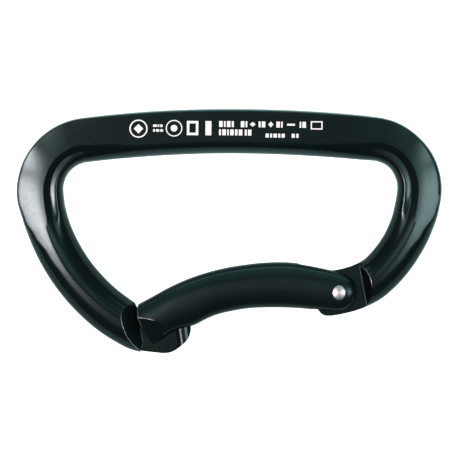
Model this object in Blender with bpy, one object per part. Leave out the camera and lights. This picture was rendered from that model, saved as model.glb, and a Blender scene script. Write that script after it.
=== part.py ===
"""Bent-gate carabiner with a key-lock nose, lying flat with the spine towards +Y.

The frame is one section swept round the D, cut back by sloped shoulders to a thin
keyed nose and a thin hinge tang. The gate is lofted between an inner and an outer
edge, slotted at both ends, and turns on a rivet. Inside it a coil spring pushes a
plunger against the cam edge of the tang, which is an involute, so the plunger's
travel is the cam's base radius times the gate's angle.

Lengths are in millimetres and become metres when a mesh is made.
"""
import math

import bmesh
import bpy
from mathutils import Vector

MM = 0.001
MID_Z = 5.5                      # mid-plane height of the whole carabiner
CREASE_DEG = 38.0                # edges sharper than this are shaded as creases

# ---------------------------------------------------------------- frame, driving sizes
SPINE_Y = 25.31                 # section centre at the middle of the spine
HALF_DEPTH = 5.5
# arcs of the section's centre line from the middle of the spine: radius, turn in degrees
LEFT_ARCS = [(301.0, 7.0), (12.95, 93.9), (47.0, 49.9), (10.0, 12.0), (60.0, 1.6)]
RIGHT_ARCS = [(352.0, 6.05), (12.68, 90.7), (33.2, 38.6), (16.7, 29.0)]
# along each side: distance, width, outer rounding, end of flat, bead, outward taper
LEFT_SHAPE = [
    (0, 11.38, .08, .72, 0.0, 0.0), (22, 11.48, .08, .72, 0.0, 0.0),
    (33, 11.43, .07, .64, .20, 0.0), (40, 11.38, .06, .60, .80, .02),
    (46, 11.48, .06, .59, 1.0, .07), (52, 11.73, .06, .59, 1.0, .16),
    (57, 11.98, .06, .58, 1.0, .18), (62, 11.38, .08, .55, .90, .18),
    (66, 11.13, .16, .49, .50, .18), (71, 11.08, .27, .46, .20, .18),
    (78, 11.08, .33, .45, .10, .17), (86, 11.18, .35, .47, .07, .16),
    (93, 11.28, .37, .49, .05, .15), (99, 11.03, .38, .50, .04, .14),
    (104, 10.88, .38, .50, .04, .14)]
RIGHT_SHAPE = [
    (0, 11.38, .08, .72, 0.0, 0.0), (22, 11.43, .08, .72, 0.0, 0.0),
    (33, 11.38, .07, .64, .20, 0.0), (39, 11.13, .06, .57, .80, .02),
    (45, 10.88, .06, .54, 1.0, .05), (51, 11.18, .06, .54, 1.0, .14),
    (57, 11.38, .06, .53, 1.0, .17), (61, 11.33, .09, .51, .85, .17),
    (66, 10.88, .22, .48, .45, .17), (72, 10.58, .33, .47, .18, .16),
    (80, 10.58, .36, .47, .10, .15), (84, 10.93, .37, .47, .06, .14),
    (89, 11.23, .37, .47, .05, .14)]
# inside the flat, as shares of its width there and of the half depth: where the valley
# and the bead's crest lie, how far the valley drops and the bead rises again
VALLEY, CREST, DROP, RISE = 0.34, 0.61, 0.20, 0.030
INNER_POWER = 0.70               # 0.5 would make the plain inner rounding an ellipse
SECTION_STEPS = (6, 2, 14)       # outer rounding, flat, inner rounding
SPINE_STEP, BEND_STEP, ARM_STEP = 11.0, 2.2, 3.6

# nose: the shoulder's foot, then the keyed tongue
NOSE_FOOT = [(-23.85, -18.82), (-21.75, -29.25)]
NOSE_RISE, HINGE_RISE = 0.95, 1.6  # how steeply each shoulder climbs from its foot
TONGUE_HALF = 1.6
TONGUE = [(-29.5, -20.6), (-25.2, -18.3), (-24.1, -18.2), (-23.35, -19.45), (-22.9, -20.6),
          (-20.6, -21.6), (-14.0, -21.0), (-10.2, -20.6),
          (-9.70, -21.2), (-9.70, -25.5), (-10.1, -27.05), (-11.1, -28.4),
          (-13.5, -30.35), (-15.1, -31.05), (-16.7, -31.15), (-22.2, -30.55),
          (-25.6, -29.45), (-28.2, -28.1)]
KEY_AXIS = [(-12.25, -20.3), (-11.25, -27.0)]
KEY_RADIUS = 2.25

# hinge: the shoulder's foot, then the tang with its cam edge
PIN = (27.93, -15.72)
HINGE_FOOT = [(33.28, -9.41), (35.0, -18.39)]
TANG_HALF = 2.2
CAM_BASE = 2.2                   # base radius: plunger travel in mm per radian
CAM_START = 4.0                  # line of contact's length with the gate shut
BORE_TILT = math.radians(-3.0)   # the gate's bore falls towards the hinge
TANG_UPPER = [(26.6, -10.08), (28.6, -9.72), (31.0, -9.0), (33.2, -8.05), (37.0, -8.6)]
TANG_LOWER = [(38.4, -15.8), (34.6, -19.45), (31.7, -20.45), (28.8, -21.15), (26.3, -21.6)]
LUG_CENTRE, LUG_RADIUS = (25.1, -19.0), 2.65
TANG_HEEL = [(22.75, -18.0), (24.2, -16.0)]

RIVET_RADIUS, RIVET_HEAD_RADIUS, RIVET_HALF = 1.5, 1.9, 5.3
TANG_BORE_RADIUS = 1.57
CHEEK_BORE_RADIUS = 1.54

# ---------------------------------------------------------------- gate, driving sizes
GATE_UPPER = [(-23.5, -18.9), (-21.5, -17.8), (-19.3, -16.6), (-15, -14.25), (-10.4, -12.2),
              (-5.7, -10.6), (-.9, -9.4), (4, -8.6), (9, -8.07), (14, -7.95), (17.2, -8.2),
              (20, -8.7), (23, -9.3), (26.1, -10.05), (28.6, -10.8), (30.6, -11.75),
              (31.8, -13.0), (32.45, -15.0)]
GATE_LOWER = [(-23.5, -31.6), (-19.4, -29.1), (-17.0, -27.45), (-13.97, -25.6),
              (-9.9, -24.4), (-8.6, -23.95), (-6, -22.6), (-3.2, -21.42), (.6, -20.47),
              (5.6, -19.72), (11.6, -19.54), (17.6, -19.72), (23.0, -20.2), (28.0, -20.45),
              (30.2, -19.75), (31.6, -18.4), (32.45, -16.4)]
# along X: half depth of the bar, then the power that makes its two sides steep
GATE_DEPTH = [(-24, 5.1), (16, 5.1), (28, 5.1), (29.3, 5.09), (30.0, 5.04), (30.7, 4.93),
              (31.3, 4.77), (31.8, 4.5), (32.15, 4.05), (32.45, 3.1)]
GATE_POWER = [(-14, .50), (2, .60), (16, .58), (22, .50), (27, .42), (31, .40), (32.45, .6)]
GATE_STEP = 2.4
GATE_TIP = [(-22.55, -17.9), (-23.1, -18.95), (-23.2, -19.7), (-23.13, -22.2),
            (-21.5, -25.6), (-19.3, -28.85)]
# the facet on each cheek beside the tip: its height above the mid-plane at the upper
# end of the tip's edge, and its slopes along that edge and away from it
FACET = (4.69, -0.377, 0.43)
NOSE_SLOT_HALF = 1.9
NOSE_SLOT = [(-26.0, -16.0), (-22.6, -16.0), (-22.5, -19.7), (-20.6, -21.1), (-8.85, -20.0),
             (-8.85, -26.0), (-14.0, -33.0), (-26.0, -33.0)]
KEY_POCKET_RADIUS = 2.65
HINGE_SLOT_HALF = 2.45
HINGE_SLOT = [(16.9, -5.0), (16.9, -7.9), (18.6, -8.75), (19.8, -9.15), (21.3, -9.6),
              (21.3, -24.0), (36.0, -24.0), (36.0, -5.0)]

# spring and plunger, measured along the bore from the line of contact's tangent point
BORE_RADIUS = 2.1
PLUNGER_RADIUS, PLUNGER_LENGTH = 2.02, 7.4
PLUNGER_GAP = 0.02               # between the plunger's face and the cam
BORE_BOTTOM = 26.6
SPRING_RADIUS, WIRE_RADIUS, SPRING_TURNS = 1.62, 0.28, 9.5


# ---------------------------------------------------------------- small tools
def clear_scene():
    for item in list(bpy.data.objects):
        bpy.data.objects.remove(item, do_unlink=True)


def make_material(name, colour, roughness, metallic):
    material = bpy.data.materials.new(name)
    material.use_nodes = True
    shader = material.node_tree.nodes["Principled BSDF"]
    shader.inputs["Base Color"].default_value = (*colour, 1.0)
    shader.inputs["Roughness"].default_value = roughness
    shader.inputs["Metallic"].default_value = metallic
    return material


def make_object(name, points, faces, origin=(0.0, 0.0, 0.0), material=None, cutter=False,
                smooth=True):
    """A mesh object from points in mm, given in the part's own frame."""
    base = Vector(origin)
    mesh = bpy.data.meshes.new(name)
    mesh.from_pydata([(Vector(p) - base) * MM for p in points], [], faces)
    shell = bmesh.new()
    shell.from_mesh(mesh)
    bmesh.ops.recalc_face_normals(shell, faces=shell.faces)
    shell.to_mesh(mesh)
    shell.free()
    made = bpy.data.objects.new(name, mesh)
    bpy.context.scene.collection.objects.link(made)
    made.location = base * MM
    mesh.polygons.foreach_set("use_smooth", [smooth] * len(mesh.polygons))
    mesh.set_sharp_from_angle(angle=math.radians(CREASE_DEG))
    if material:
        mesh.materials.append(material)
    if cutter:
        made.hide_render = True
        made.display_type = 'WIRE'
    return made


def boolean(target, tool, operation):
    """Add an exact Boolean of the tool to the target's stack."""
    step = target.modifiers.new(tool.name, 'BOOLEAN')
    step.operation = operation
    step.solver = 'EXACT'
    step.object = tool


def lerp_table(rows, x):
    """Read a table of rows (x, values...) at x with smooth steps between its rows."""
    if x <= rows[0][0]:
        return rows[0][1:]
    for low, high in zip(rows, rows[1:]):
        if x <= high[0]:
            t = (x - low[0]) / (high[0] - low[0])
            t = t * t * (3 - 2 * t)
            return tuple(a + (b - a) * t for a, b in zip(low[1:], high[1:]))
    return rows[-1][1:]


def curve_at(points, x):
    """The y of a smooth curve through points in rising x (monotone-safe cubic)."""
    xs = [p[0] for p in points]
    ys = [p[1] for p in points]
    i = max(0, min(len(xs) - 2, sum(1 for v in xs[1:] if v <= x)))
    slopes = []
    for k in (i, i + 1):
        a, b = max(k - 1, 0), min(k + 1, len(xs) - 1)
        slopes.append((ys[b] - ys[a]) / (xs[b] - xs[a]))
    h = xs[i + 1] - xs[i]
    t = min(max((x - xs[i]) / h, 0.0), 1.0)
    return ((2 * t ** 3 - 3 * t ** 2 + 1) * ys[i] + (t ** 3 - 2 * t ** 2 + t) * h * slopes[0]
            + (3 * t ** 2 - 2 * t ** 3) * ys[i + 1] + (t ** 3 - t ** 2) * h * slopes[1])


def loft(rings):
    """Points and faces of a closed solid through rings of equal size."""
    count = len(rings[0])
    points = [p for ring in rings for p in ring]
    faces = [tuple(range(count))]
    for r in range(len(rings) - 1):
        for k in range(count):
            a, b = r * count + k, r * count + (k + 1) % count
            faces.append((b, a, a + count, b + count))
    last = (len(rings) - 1) * count
    faces.append(tuple(last + k for k in reversed(range(count))))
    return points, faces


def plate(outline, half, edge=0.0):
    """A flat plate of a clockwise or anticlockwise outline, with chamfered edges."""
    area = sum(a[0] * b[1] - b[0] * a[1] for a, b in zip(outline, outline[1:] + outline[:1]))
    flat = outline if area > 0 else outline[::-1]
    levels = [(-half, 0.0), (half, 0.0)]
    if edge:
        levels = [(-half, edge), (-half + edge, 0.0), (half - edge, 0.0), (half, edge)]
    rings = [[(x, y, MID_Z + z) for x, y in inset(flat, d)] for z, d in levels]
    return loft(rings)


def inset(outline, distance):
    """Move an anticlockwise outline inwards."""
    if not distance:
        return outline
    made = []
    for before, here, after in zip(outline[-1:] + outline[:-1], outline,
                                   outline[1:] + outline[:1]):
        d1 = Vector((here[0] - before[0], here[1] - before[1])).normalized()
        d2 = Vector((after[0] - here[0], after[1] - here[1])).normalized()
        n = Vector((-d1.y - d2.y, d1.x + d2.x))
        n = n.normalized() / max(0.5, n.normalized().dot(Vector((-d1.y, d1.x))))
        made.append((here[0] + n.x * distance, here[1] + n.y * distance))
    return made


def turned(start, end, profile, sides=24):
    """A solid of revolution: profile is (distance from start, radius) along start to end."""
    start, end = Vector(start), Vector(end)
    axis = (end - start).normalized()
    side = axis.orthogonal().normalized()
    up = axis.cross(side)
    rings = []
    for along, radius in profile:
        centre = start + axis * along
        rings.append([centre + radius * (side * math.cos(a) + up * math.sin(a))
                      for a in (2 * math.pi * k / sides for k in range(sides))])
    return loft(rings)


def wedge(foot, half, rise, reach, slope_side, run=6.0, past=9.0):
    """A cutter that leaves sloped shoulders: cross-section V, swept along the foot line.

    slope_side is +1 or -1: which side of the foot line, seen along it, is kept.
    """
    a, b = Vector((*foot[0], MID_Z)), Vector((*foot[1], MID_Z))
    along = (b - a).normalized()
    keep = Vector((0, 0, 1)).cross(along) * slope_side
    top = half + run * rise
    section = [(0.0, -half), (0.0, half), (run, top), (-past, top), (-past, -top), (run, -top)]
    rings = [[end + keep * d + Vector((0, 0, z)) for d, z in section]
             for end in (a - along * reach, b + along * reach)]
    return loft(rings)


# ---------------------------------------------------------------- frame
def centre_line(arcs, side, distance):
    """Centre and outward normal angle (degrees) at a distance from the spine's middle."""
    x, y, turned_deg, left = 0.0, SPINE_Y, 0.0, distance
    for radius, degrees in arcs:
        length = radius * math.radians(degrees)
        part = min(left, length)
        angle = math.degrees(part / radius)
        a0, a1 = math.radians(turned_deg), math.radians(turned_deg + angle)
        x += -side * radius * (math.sin(a1) - math.sin(a0))
        y += radius * (math.cos(a1) - math.cos(a0))
        turned_deg += angle
        left -= part
        if left <= 1e-9:
            break
    return x, y, 90.0 + side * turned_deg


def inner_height(u, bead):
    """Height inside the flat, u from 0 at the flat to 1 at the edge: plain or beaded."""
    plain = max(0.0, 1 - u * u) ** INNER_POWER
    if u < VALLEY:
        beaded = 1 - DROP * u / VALLEY
    elif u < CREST:
        step = (1 - math.cos(math.pi * (u - VALLEY) / (CREST - VALLEY))) / 2
        beaded = 1 - DROP + RISE * step
    else:
        reach = (u - CREST) / (1 - CREST)
        beaded = (1 - DROP + RISE) * math.sqrt(max(0.0, 1 - reach * reach))
    return plain + (beaded - plain) * bead


def half_section(width, rounding, flat_end, bead, taper):
    """Offsets from the centre line (outwards) and half depths, from edge to edge."""
    n_round, n_flat, n_inner = SECTION_STEPS
    rows = []
    for k in range(n_round + 1):
        a = math.pi / 2 * k / n_round
        rows.append((rounding * (1 - math.cos(a)), math.sin(a) ** 0.9))
    for k in range(1, n_flat + 1):
        rows.append((rounding + (flat_end - rounding) * k / n_flat, 1.0))
    rows = [(t, h * (1 - taper * max(0.0, 1 - t / flat_end) ** 1.25)) for t, h in rows]
    for k in range(1, n_inner + 1):
        u = math.sin(math.pi / 2 * k / n_inner)
        rows.append((flat_end + (1 - flat_end) * u, inner_height(u, bead)))
    return [(width * (0.5 - t), HALF_DEPTH * h) for t, h in rows]


def section_ring(arcs, shapes, side, distance):
    x, y, normal = centre_line(arcs, side, distance)
    c, s = math.cos(math.radians(normal)), math.sin(math.radians(normal))
    half = half_section(*lerp_table(shapes, distance))
    top = [(x + c * d, y + s * d, MID_Z + h) for d, h in half]
    bottom = [(x + c * d, y + s * d, MID_Z - h) for d, h in half[-2:0:-1]]
    return top + bottom


def stations(arcs, steps):
    """Distances at which the section is placed: closer together in the bends."""
    made, start = [], 0.0
    for (radius, degrees), step in zip(arcs, steps):
        length = radius * math.radians(degrees)
        count = max(1, round(length / step))
        made += [start + length * k / count for k in range(count)]
        start += length
    return made + [start]


def frame_sweep():
    left = stations(LEFT_ARCS, (SPINE_STEP, BEND_STEP, ARM_STEP, BEND_STEP, ARM_STEP))
    right = stations(RIGHT_ARCS, (SPINE_STEP, BEND_STEP, ARM_STEP, BEND_STEP))
    rings = [section_ring(LEFT_ARCS, LEFT_SHAPE, 1, d) for d in reversed(left)]
    rings += [section_ring(RIGHT_ARCS, RIGHT_SHAPE, -1, d) for d in right[1:]]
    return loft(rings)


def cam_point(turn):
    """A point of the tang's involute edge, for the gate turned open by an angle."""
    n = math.pi / 2 + BORE_TILT - turn
    d = BORE_TILT - turn
    reach = CAM_START + CAM_BASE * turn
    return (PIN[0] + CAM_BASE * math.cos(n) - reach * math.cos(d),
            PIN[1] + CAM_BASE * math.sin(n) - reach * math.sin(d))


def tang_outline():
    lug = [(LUG_CENTRE[0] + LUG_RADIUS * math.cos(a), LUG_CENTRE[1] + LUG_RADIUS * math.sin(a))
           for a in (math.radians(265 - 17 * k) for k in range(6))]
    cam = [cam_point(math.radians(a)) for a in (-20, -10, 0, 8, 16, 24, 32, 39, 44.5)]
    return TANG_UPPER + TANG_LOWER + lug + TANG_HEEL + cam


def build_frame(material):
    points, faces = frame_sweep()
    frame = make_object("frame", points, faces, material=material)

    nose_cut = make_object("cut_nose_shoulder", *wedge(NOSE_FOOT, TONGUE_HALF, NOSE_RISE, 3.5, -1),
                           cutter=True, smooth=False)
    boolean(frame, nose_cut, 'DIFFERENCE')
    hinge_cut = make_object("cut_hinge_shoulder", *wedge(HINGE_FOOT, TANG_HALF, HINGE_RISE, 4.0, 1),
                            cutter=True, smooth=False)
    boolean(frame, hinge_cut, 'DIFFERENCE')

    tongue = make_object("add_nose_tongue", *plate(TONGUE, TONGUE_HALF, 0.25), cutter=True,
                         smooth=False)
    boolean(frame, tongue, 'UNION')
    start, end = (Vector((*p, MID_Z)) for p in KEY_AXIS)
    reach = (end - start).length + 4
    key = make_object("add_nose_key", *turned(start, end, [
        (-1, KEY_RADIUS), (reach, KEY_RADIUS)]), cutter=True)
    bounds = make_object("trim_nose_key", *plate(TONGUE, 3.2), cutter=True, smooth=False)
    boolean(key, bounds, 'INTERSECT')
    boolean(frame, key, 'UNION')

    tang = make_object("add_hinge_tang", *plate(tang_outline(), TANG_HALF, 0.2), cutter=True,
                       smooth=False)
    boolean(frame, tang, 'UNION')
    bore = make_object("cut_tang_bore", *turned(
        (*PIN, MID_Z - 6), (*PIN, MID_Z + 6), [(0, TANG_BORE_RADIUS), (12, TANG_BORE_RADIUS)]),
        cutter=True)
    boolean(frame, bore, 'DIFFERENCE')
    return frame


# ---------------------------------------------------------------- gate
def gate_ring(x):
    """The gate's section on a line across it: a rounded bar."""
    upper, lower = curve_at(GATE_UPPER, x), curve_at(GATE_LOWER, x)
    depth, power = curve_at(GATE_DEPTH, x), lerp_table(GATE_POWER, x)[0]
    middle, half = (upper + lower) / 2, (upper - lower) / 2
    ring = []
    for k in range(24):
        a = 2 * math.pi * k / 24
        c, s = math.cos(a), math.sin(a)
        ring.append((x, middle + half * s, MID_Z + depth * math.copysign(abs(c) ** power, c)))
    return ring


def gate_loft():
    first, last = GATE_UPPER[0][0], GATE_UPPER[-1][0]
    inner = [19.0, 21.0, 23.0, 25.0, 27.0, 28.3, 29.4, 30.3, 31.0, 31.6, 32.1]
    count = round((17.2 - first) / GATE_STEP)
    xs = [first + (17.2 - first) * k / count for k in range(count + 1)] + inner + [last]
    return loft([gate_ring(x) for x in xs])


def facet_block(side):
    """A block whose sloped floor cuts the facet beside the gate's tip, front or back."""
    corner, tip = Vector(GATE_TIP[3]), Vector(GATE_TIP[5])
    along = (tip - corner).normalized()
    inwards = Vector((-along.y, along.x))
    rings = []
    for a in (-6.0, 13.0):
        ring = []
        for d, height in ((-4.0, None), (11.0, None), (11.0, 14.0), (-4.0, 14.0)):
            z = height if height else FACET[0] + FACET[1] * a + FACET[2] * d
            spot = corner + along * a + inwards * d
            ring.append((spot.x, spot.y, MID_Z + side * z))
        rings.append(ring)
    return loft(rings)


def bore_frame():
    """Where the bore's axis touches the cam's base circle, and its direction inwards."""
    n, d = math.pi / 2 + BORE_TILT, BORE_TILT
    tangent = Vector((PIN[0] + CAM_BASE * math.cos(n), PIN[1] + CAM_BASE * math.sin(n), MID_Z))
    return tangent, Vector((-math.cos(d), -math.sin(d), 0.0))


def build_gate(material):
    points, faces = gate_loft()
    origin = (*PIN, MID_Z)
    gate = make_object("gate", points, faces, origin, material)

    end = make_object("cut_gate_end", *plate(
        [*GATE_TIP, (-18.6, -33), (-40, -33), (-40, -8), (-22.4, -8)], 9.0), cutter=True,
        smooth=False)
    boolean(gate, end, 'DIFFERENCE')
    for name, side in (("cut_tip_facet_front", 1), ("cut_tip_facet_back", -1)):
        facet = make_object(name, *facet_block(side), cutter=True, smooth=False)
        boolean(gate, facet, 'DIFFERENCE')
    slot = make_object("cut_nose_slot", *plate(NOSE_SLOT, NOSE_SLOT_HALF), cutter=True,
                       smooth=False)
    boolean(gate, slot, 'DIFFERENCE')
    start, finish = (Vector((*p, MID_Z)) for p in KEY_AXIS)
    pocket = make_object("cut_key_pocket", *turned(start, finish, [
        (-0.45, KEY_POCKET_RADIUS), (12, KEY_POCKET_RADIUS)]), cutter=True)
    boolean(gate, pocket, 'DIFFERENCE')
    hinge_slot = make_object("cut_hinge_slot", *plate(HINGE_SLOT, HINGE_SLOT_HALF),
                             cutter=True, smooth=False)
    boolean(gate, hinge_slot, 'DIFFERENCE')
    tangent, inwards = bore_frame()
    bore = make_object("cut_spring_bore", *turned(
        tangent + inwards * 3, tangent + inwards * 10,
        [(0, BORE_RADIUS), (BORE_BOTTOM - 4, BORE_RADIUS), (BORE_BOTTOM - 3, 0.4)]),
        cutter=True)
    boolean(gate, bore, 'DIFFERENCE')
    rivet_bore = make_object("cut_rivet_bore", *turned(
        (*PIN, MID_Z - 6), (*PIN, MID_Z + 6),
        [(0, RIVET_HEAD_RADIUS + 0.06), (1.75, RIVET_HEAD_RADIUS + 0.06),
         (2.15, CHEEK_BORE_RADIUS), (9.85, CHEEK_BORE_RADIUS),
         (10.25, RIVET_HEAD_RADIUS + 0.06), (12, RIVET_HEAD_RADIUS + 0.06)]), cutter=True)
    boolean(gate, rivet_bore, 'DIFFERENCE')
    return gate


# ---------------------------------------------------------------- rivet, spring, plunger
def build_rivet(material):
    h = RIVET_HALF
    return make_object("hinge_rivet", *turned(
        (*PIN, MID_Z - h), (*PIN, MID_Z + h),
        [(0, 1.35), (0.14, 1.72), (0.42, RIVET_HEAD_RADIUS), (1.0, RIVET_HEAD_RADIUS),
         (1.5, RIVET_RADIUS), (2 * h - 1.5, RIVET_RADIUS), (2 * h - 1.0, RIVET_HEAD_RADIUS),
         (2 * h - 0.42, RIVET_HEAD_RADIUS), (2 * h - 0.14, 1.72), (2 * h, 1.35)]),
        origin=(*PIN, MID_Z), material=material)


def build_plunger(material):
    tangent, inwards = bore_frame()
    face = tangent + inwards * (CAM_START + PLUNGER_GAP)
    back = face + inwards * PLUNGER_LENGTH
    return make_object("spring_plunger", *turned(face, back, [
        (0, PLUNGER_RADIUS - 0.35), (0.35, PLUNGER_RADIUS), (4.6, PLUNGER_RADIUS),
        (4.8, 1.15), (PLUNGER_LENGTH - 0.3, 1.15), (PLUNGER_LENGTH, 0.85)]),
        origin=face, material=material)


def build_spring(material):
    """A compression coil between the plunger's step and the end of the bore."""
    tangent, inwards = bore_frame()
    start = tangent + inwards * (CAM_START + PLUNGER_GAP + 4.8 + WIRE_RADIUS + 0.05)
    length = BORE_BOTTOM - 1.0 - (start - tangent).length - WIRE_RADIUS - 0.05
    side = Vector((0, 0, 1))
    up = inwards.cross(side)
    rings, steps = [], round(SPRING_TURNS * 14)
    for k in range(steps + 1):
        turn = SPRING_TURNS * k / steps
        closed = 1.05 * 2 * WIRE_RADIUS              # pitch of the closed end coils
        free = (length - 2 * closed) / (SPRING_TURNS - 2)
        along = (closed * min(turn, 1) + free * min(max(turn - 1, 0), SPRING_TURNS - 2)
                 + closed * max(turn - (SPRING_TURNS - 1), 0))
        out = side * math.cos(2 * math.pi * turn) + up * math.sin(2 * math.pi * turn)
        centre = start + inwards * along + out * SPRING_RADIUS
        rings.append([centre + WIRE_RADIUS * (out * math.cos(a) + inwards * math.sin(a))
                      for a in (2 * math.pi * j / 6 for j in range(6))])
    points, faces = loft(rings)
    return make_object("gate_spring", points, faces, origin=start, material=material)


# ---------------------------------------------------------------- the part
def main():
    clear_scene()
    frame_finish = make_material("anodised_frame", (0.018, 0.022, 0.021), 0.34, 0.85)
    gate_finish = make_material("anodised_gate", (0.020, 0.024, 0.023), 0.36, 0.85)
    rivet_finish = make_material("rivet_steel", (0.72, 0.71, 0.70), 0.28, 1.0)
    spring_finish = make_material("spring_wire", (0.45, 0.45, 0.46), 0.35, 1.0)
    plunger_finish = make_material("plunger_steel", (0.55, 0.55, 0.56), 0.30, 1.0)
    build_frame(frame_finish)
    build_gate(gate_finish)
    build_rivet(rivet_finish)
    build_plunger(plunger_finish)
    build_spring(spring_finish)


main()
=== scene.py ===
"""The looks of a bent-gate carabiner: satin black anodised forging and gate, bright
rivet, plain white marks on the spine, on a pale floor under soft light.

Shapes are worked out in millimetres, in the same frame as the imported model, and become
metres when a mesh is made.
"""
import math

import bmesh
import bpy
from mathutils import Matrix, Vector


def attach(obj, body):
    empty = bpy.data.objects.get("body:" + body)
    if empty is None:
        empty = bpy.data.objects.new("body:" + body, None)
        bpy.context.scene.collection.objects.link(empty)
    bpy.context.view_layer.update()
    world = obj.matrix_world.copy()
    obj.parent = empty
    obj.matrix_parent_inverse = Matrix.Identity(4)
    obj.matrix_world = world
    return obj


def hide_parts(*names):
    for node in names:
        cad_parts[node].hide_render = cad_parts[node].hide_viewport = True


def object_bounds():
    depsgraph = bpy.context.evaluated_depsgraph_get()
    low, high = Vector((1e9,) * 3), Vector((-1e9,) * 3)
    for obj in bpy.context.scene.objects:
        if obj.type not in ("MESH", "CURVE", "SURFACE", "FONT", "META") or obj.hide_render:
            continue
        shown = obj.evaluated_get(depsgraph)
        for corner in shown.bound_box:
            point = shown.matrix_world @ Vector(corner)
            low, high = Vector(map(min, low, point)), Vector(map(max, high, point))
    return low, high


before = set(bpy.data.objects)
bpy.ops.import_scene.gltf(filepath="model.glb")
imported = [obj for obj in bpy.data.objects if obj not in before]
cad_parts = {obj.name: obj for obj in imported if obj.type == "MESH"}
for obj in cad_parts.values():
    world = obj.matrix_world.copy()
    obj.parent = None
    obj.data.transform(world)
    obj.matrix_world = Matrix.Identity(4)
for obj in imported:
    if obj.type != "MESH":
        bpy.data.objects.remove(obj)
cad_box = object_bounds()

MM = 0.001
LOW, HIGH = (Vector(corner) / MM for corner in cad_box)
MID_Z = (LOW.z + HIGH.z) / 2
HALF_DEPTH = (HIGH.z - LOW.z) / 2
CREASE, FRAME_CREASE = 32.0, 24.0     # edges with a sharper angle (degrees) stay crisp
CORNER_STEPS = 5                      # of the arc that rounds an outline's corner
EDGE_ANGLES = (0, 22, 45, 68, 90)     # where the arc that rounds a plate's edge has rings

# ---------------------------------------------------------------- frame, driving sizes (mm)
SPINE_Y = 25.31                  # section centre at the middle of the spine
# arcs of the section's centre line from the middle of the spine: radius, turn in degrees
LEFT_ARCS = [(301.0, 7.0), (12.95, 93.9), (47.0, 49.9), (10.0, 12.0), (60.0, 1.6)]
RIGHT_ARCS = [(352.0, 6.05), (12.68, 90.7), (33.2, 38.6), (16.7, 29.0)]
# along each side: distance, width, outer rounding, end of flat, bead, outward taper
LEFT_SHAPE = [
    (0, 11.38, .08, .72, 0.0, 0.0), (22, 11.48, .08, .72, 0.0, 0.0),
    (33, 11.43, .07, .64, .20, 0.0), (40, 11.38, .06, .60, .80, .02),
    (46, 11.48, .06, .59, 1.0, .07), (52, 11.73, .06, .59, 1.0, .16),
    (57, 11.98, .06, .58, 1.0, .18), (62, 11.38, .08, .55, .90, .18),
    (66, 11.13, .16, .49, .50, .18), (71, 11.08, .27, .46, .20, .18),
    (78, 11.08, .33, .45, .10, .17), (86, 11.18, .35, .47, .07, .16),
    (93, 11.28, .37, .49, .05, .15), (99, 11.03, .38, .50, .04, .14),
    (104, 10.88, .38, .50, .04, .14)]
RIGHT_SHAPE = [
    (0, 11.38, .08, .72, 0.0, 0.0), (22, 11.43, .08, .72, 0.0, 0.0),
    (33, 11.38, .07, .64, .20, 0.0), (39, 11.13, .06, .57, .80, .02),
    (45, 10.88, .06, .54, 1.0, .05), (51, 11.18, .06, .54, 1.0, .14),
    (57, 11.38, .06, .53, 1.0, .17), (61, 11.33, .09, .51, .85, .17),
    (66, 10.88, .22, .48, .45, .17), (72, 10.58, .33, .47, .18, .16),
    (80, 10.58, .36, .47, .10, .15), (84, 10.93, .37, .47, .06, .14),
    (89, 11.23, .37, .47, .05, .14)]
# inside the flat, as shares of its width there and of the half depth: where the valley
# and the bead's crest lie, how far the valley drops and the bead rises again
VALLEY, CREST, DROP, RISE = 0.34, 0.61, 0.20, 0.030
OUTER_POWER, TAPER_POWER = 0.9, 1.25   # of the outer rounding and of the outward taper
INNER_POWER = 0.70               # 0.5 would make the plain inner rounding an ellipse
SECTION_STEPS = (16, 8, 44)      # outer rounding, flat, inner rounding
SPINE_STEP, BEND_STEP, ARM_STEP = 1.6, 0.45, 0.8

# a shoulder: the line along its foot, its slope, and the cut's reach past that line's ends
NOSE_FOOT, NOSE_RISE, NOSE_REACH = [(-23.85, -18.82), (-21.75, -29.25)], 0.95, 3.5
HINGE_FOOT, HINGE_RISE, HINGE_REACH = [(33.28, -9.41), (35.0, -18.39)], 1.6, 4.0
SHOULDER_FILLET = 0.14
SLOPE_RUN, CLEAR_RUN = 6.0, 9.0       # how far the cut goes up the slope and past its foot

# the plates are given by half their depth, their corners' radius and their edges' radius
TONGUE_HALF, TONGUE_CORNER, TONGUE_EDGE = 1.6, 0.9, 0.3
TONGUE = [(-29.5, -20.6), (-25.2, -18.3), (-24.1, -18.2), (-23.35, -19.45), (-22.9, -20.6),
          (-20.6, -21.6), (-14.0, -21.0), (-10.2, -20.6),
          (-9.70, -21.2), (-9.70, -25.5), (-10.1, -27.05), (-11.1, -28.4),
          (-13.5, -30.35), (-15.1, -31.05), (-16.7, -31.15), (-22.2, -30.55),
          (-25.6, -29.45), (-28.2, -28.1)]
TONGUE_SHARP = (0, 1, 2, 3, 15, 16)   # the corners that aren't rounded
KEY_AXIS = [(-12.25, -20.3), (-11.25, -27.0)]
KEY_OVERRUN = (1, 4)              # the bar's length past its axis, before it is trimmed
KEY_RADIUS, KEY_SIDES = 2.25, 64
KEY_POWER = 0.6                   # 1 would make its section round
KEY_TRIM_HALF, KEY_EDGE = 3.2, 0.35
KEY_LEAN = math.radians(5.0)      # the key's top leans this much towards the nose

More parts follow.
